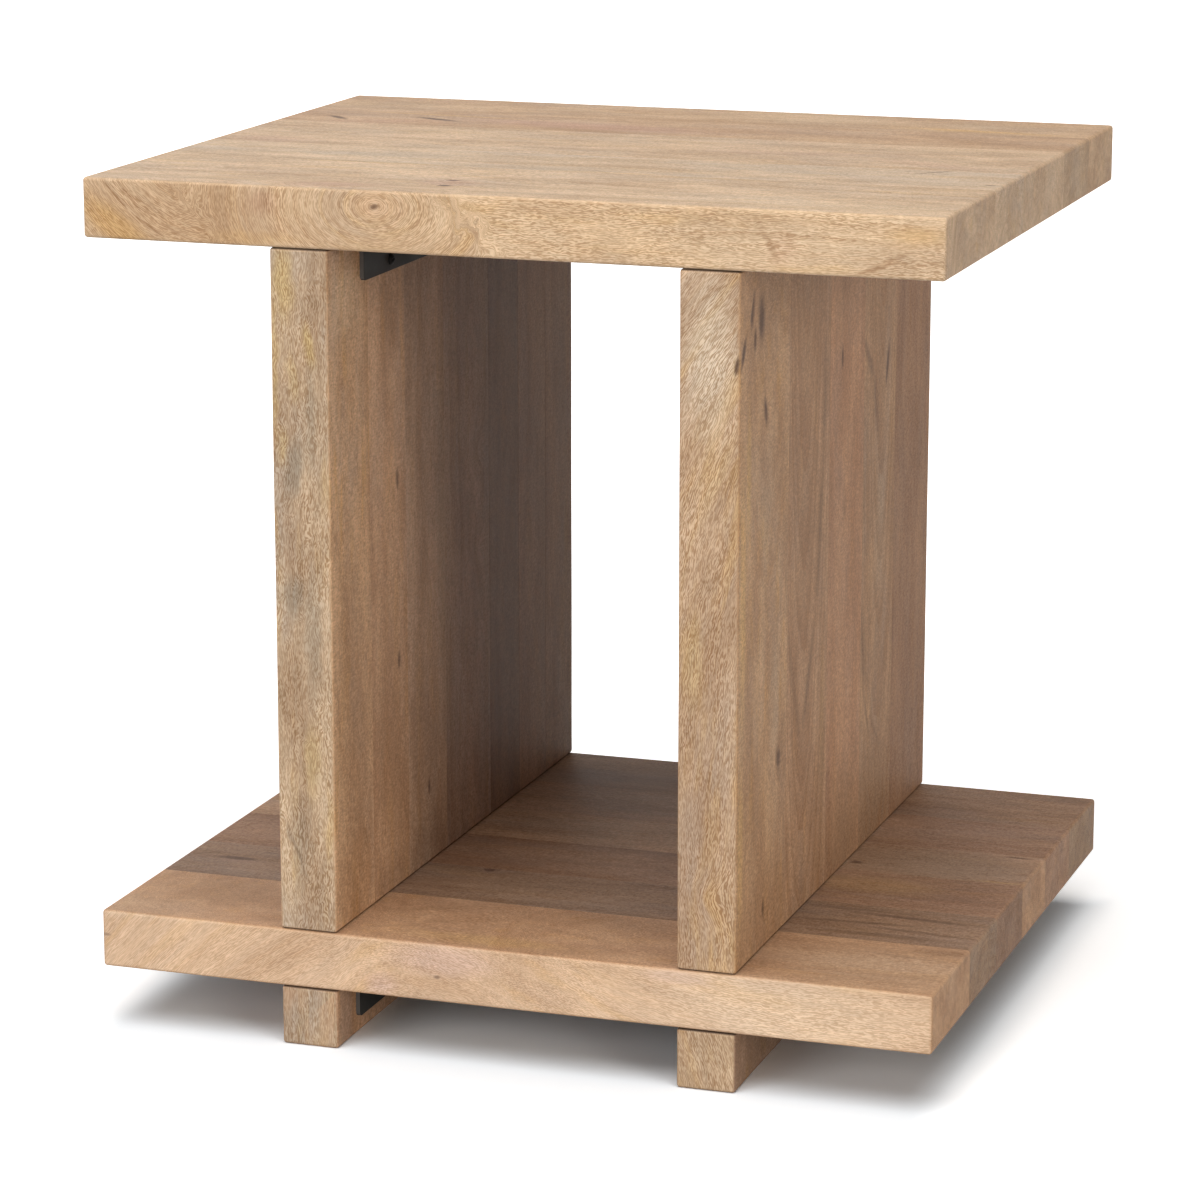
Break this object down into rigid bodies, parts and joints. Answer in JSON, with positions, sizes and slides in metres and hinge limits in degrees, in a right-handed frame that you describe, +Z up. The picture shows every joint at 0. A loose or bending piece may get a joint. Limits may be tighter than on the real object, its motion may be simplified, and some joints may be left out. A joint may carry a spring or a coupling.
{
  "type": "accent table",
  "caption": "Block-shaped solid-wood side table: a thick rectangular top on upright slab panels, over a matching base slab raised on runners, joined by hidden steel angles.",
  "frame": {"origin": "on the floor, under the middle of the table", "axes": "+Z up, the front faces -Y, +X to the right as seen from the front"},
  "size_m": [0.61, 0.51, 0.61],
  "materials": {
    "top_wood": "matte clear-lacquered mango-like hardwood",
    "base_wood": "matte clear-lacquered mango-like hardwood",
    "panel_wood": "matte clear-lacquered mango-like hardwood",
    "runner_wood": "matte clear-lacquered mango-like hardwood",
    "black_angle": "satin black powder coat",
    "black_screw": "black oxide",
    "zinc_steel": "bright zinc plate",
    "insert_brass": "turned brass"
  },
  "bodies": {
    "root": {"base_board_1": "base_wood", "base_board_2": "base_wood", "base_board_3": "base_wood", "base_board_4": "base_wood", "base_board_5": "base_wood", "base_board_6": "base_wood", "left_panel_board_1": "panel_wood", "left_panel_board_2": "panel_wood", "left_panel_board_3": "panel_wood", "left_panel_board_4": "panel_wood", "left_panel_board_5": "panel_wood", "left_panel_board_6": "panel_wood", "left_panel_board_7": "panel_wood", "left_panel_bolts": "zinc_steel", "left_panel_inserts": "insert_brass", "left_panel_washers": "zinc_steel", "left_runner": "runner_wood", "left_runner_angle": "black_angle", "left_runner_angle_screws": "black_screw", "left_top_angle": "black_angle", "left_top_angle_screws": "black_screw", "right_panel_board_1": "panel_wood", "right_panel_board_2": "panel_wood", "right_panel_board_3": "panel_wood", "right_panel_board_4": "panel_wood", "right_panel_board_5": "panel_wood", "right_panel_bolts": "zinc_steel", "right_panel_inserts": "insert_brass", "right_panel_washers": "zinc_steel", "right_runner": "runner_wood", "right_runner_angle": "black_angle", "right_runner_angle_screws": "black_screw", "right_top_angle": "black_angle", "right_top_angle_screws": "black_screw", "top_board_1": "top_wood", "top_board_2": "top_wood", "top_board_3": "top_wood", "top_board_4": "top_wood", "top_board_5": "top_wood"}
  },
  "joints": []
}
